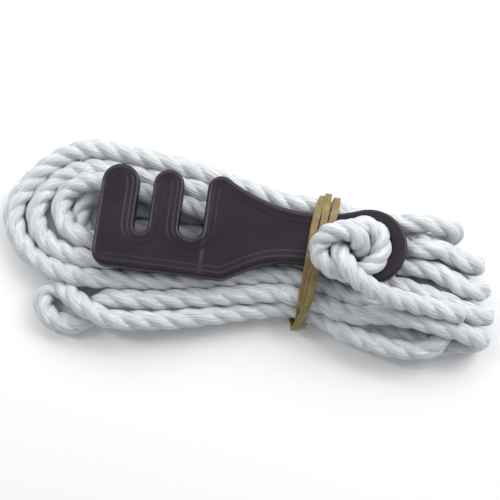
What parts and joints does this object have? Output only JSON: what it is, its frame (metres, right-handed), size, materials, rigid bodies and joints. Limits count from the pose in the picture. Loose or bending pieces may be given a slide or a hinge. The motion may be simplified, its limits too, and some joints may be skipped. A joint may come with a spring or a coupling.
{
  "type": "tow rope handle",
  "caption": "Flat comb-shaped plastic rope handle with a round eye, its twisted rope knotted through the eye and wound into a hank held by a rubber band.",
  "frame": {"origin": "middle of the handle's own box, half way through its thickness", "axes": "+X from the comb end towards the eye, +Y the way the fingers point, +Z out of the face that looks up"},
  "size_m": [0.1681, 0.069, 0.0331],
  "materials": {
    "handle_plastic": "satin-gloss moulded black",
    "rope": "white three-strand twisted polypropylene, satin",
    "band_rubber": "natural tan, semi-matte"
  },
  "bodies": {
    "hank": {"rope_hank": "rope", "rope_tail": "rope", "rubber_band": "band_rubber"},
    "handle": {"handle": "handle_plastic", "rope_knot": "rope"}
  },
  "joints": [
    {"name": "handle_lift", "type": "hinge", "parent": "hank", "child": "handle", "pos_m": [0.052, 0, -0.00325], "axis": [0, 1, 0], "range_deg": [0, 20], "deforming": ["rubber_band", "rope_tail"]}
  ]
}
